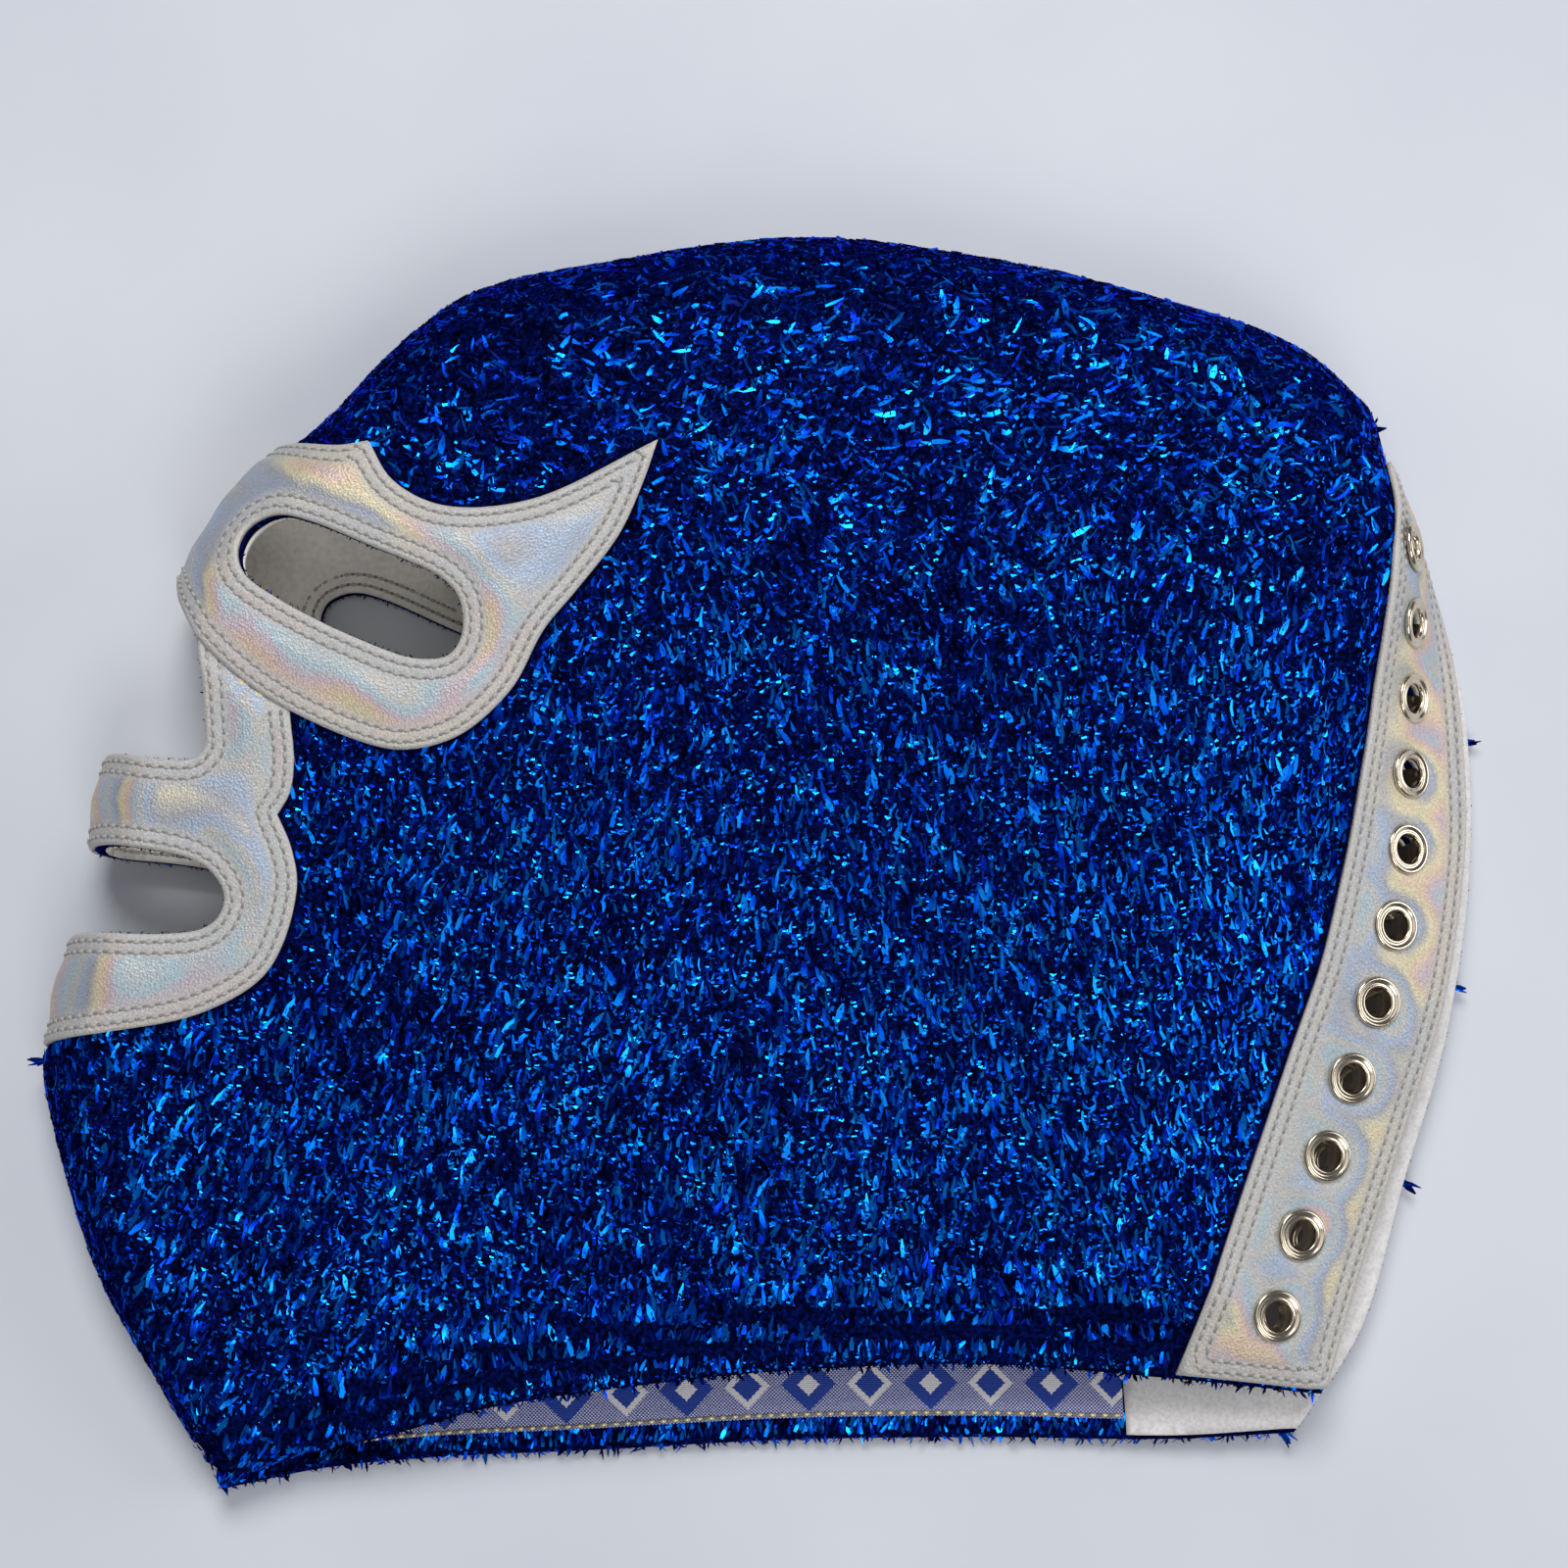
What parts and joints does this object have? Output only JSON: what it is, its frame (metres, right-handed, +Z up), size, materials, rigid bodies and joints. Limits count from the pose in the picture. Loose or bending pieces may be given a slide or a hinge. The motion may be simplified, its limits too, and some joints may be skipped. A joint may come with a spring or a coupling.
{
  "type": "luchador mask",
  "caption": "Full-head wrestling mask of blue tinsel knit laid on its side, with silver eye and mouth trims, open back edges with eyelets, and a lined neck hem.",
  "frame": {"origin": "middle of the mask's plan, on the surface that it lies on", "axes": "+X from the face to the laced back edge, +Y from the neck to the crown, +Z up through the left side of the head, which lies uppermost"},
  "size_m": [0.2784, 0.2466, 0.0395],
  "materials": {
    "tinsel_knit": "shiny blue tinsel pile on dark knit",
    "lining_cloth": "matt cream tricot",
    "facing_cloth": "matt white facing",
    "silver_vinyl": "fine-grained silver holographic vinyl",
    "jacquard_ribbon": "blue and silver woven diamond ribbon",
    "nickel": "polished warm nickel"
  },
  "bodies": {
    "root": {"shell_left": "tinsel_knit", "shell_right": "tinsel_knit", "lining_left": "lining_cloth", "lining_right": "lining_cloth", "placket_left": "silver_vinyl", "placket_right": "silver_vinyl", "facing_left": "facing_cloth", "facing_right": "facing_cloth", "hem_ribbon_left": "jacquard_ribbon", "hem_ribbon_right": "jacquard_ribbon", "eye_trim": "silver_vinyl", "mouth_trim": "silver_vinyl", "eyelet_left_01": "nickel", "eyelet_left_02": "nickel", "eyelet_left_03": "nickel", "eyelet_left_04": "nickel", "eyelet_left_05": "nickel", "eyelet_left_06": "nickel", "eyelet_left_07": "nickel", "eyelet_left_08": "nickel", "eyelet_left_09": "nickel", "eyelet_left_10": "nickel", "eyelet_left_11": "nickel", "eyelet_right_01": "nickel", "eyelet_right_02": "nickel", "eyelet_right_03": "nickel", "eyelet_right_04": "nickel", "eyelet_right_05": "nickel", "eyelet_right_06": "nickel", "eyelet_right_07": "nickel", "eyelet_right_08": "nickel", "eyelet_right_09": "nickel", "eyelet_right_10": "nickel", "eyelet_right_11": "nickel"}
  },
  "joints": []
}
